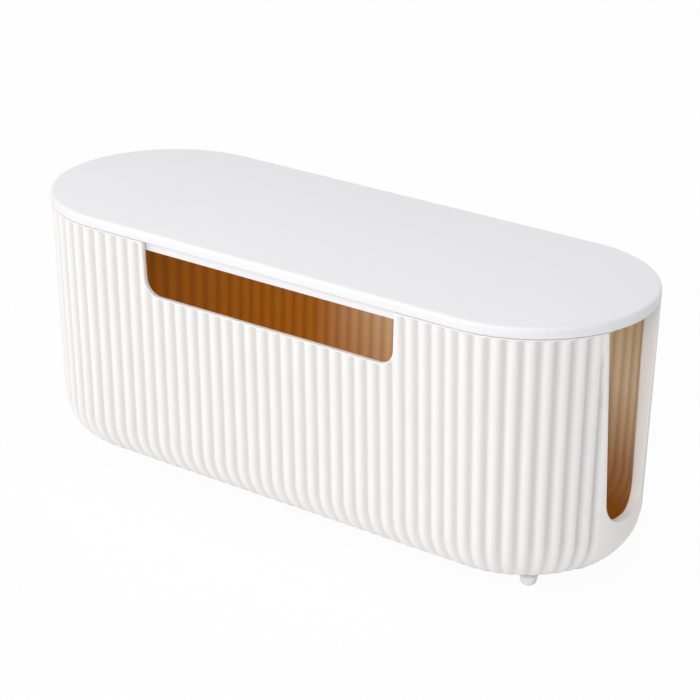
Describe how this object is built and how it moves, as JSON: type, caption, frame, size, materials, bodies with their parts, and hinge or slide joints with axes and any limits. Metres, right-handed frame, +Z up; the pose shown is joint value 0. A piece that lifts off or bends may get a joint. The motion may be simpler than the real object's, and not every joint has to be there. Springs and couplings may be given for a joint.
{
  "type": "cable management box",
  "caption": "Fluted stadium-shaped box with a lift-off lid, a wide front notch and a guarded cable port in each end, for hiding a power strip and its cables.",
  "frame": {"origin": "centre of the box, on the plane that its feet stand on", "axes": "+X along the box's length, towards its right end as seen from the notched front; +Y to the back; +Z up"},
  "size_m": [0.32, 0.115, 0.1325],
  "materials": {
    "tub_plastic": "fine matte moulded white",
    "lid_plastic": "fine matte moulded white",
    "foot_rubber": "soft light grey"
  },
  "bodies": {
    "tub": {"box_body": "tub_plastic", "foot_front_left": "foot_rubber", "foot_front_right": "foot_rubber", "foot_back_left": "foot_rubber", "foot_back_right": "foot_rubber"},
    "lid": {"lid": "lid_plastic"}
  },
  "joints": [
    {"name": "lid_lift", "type": "slide", "parent": "tub", "child": "lid", "axis": [0, 0, 1], "range_m": [0, 0.15]}
  ]
}
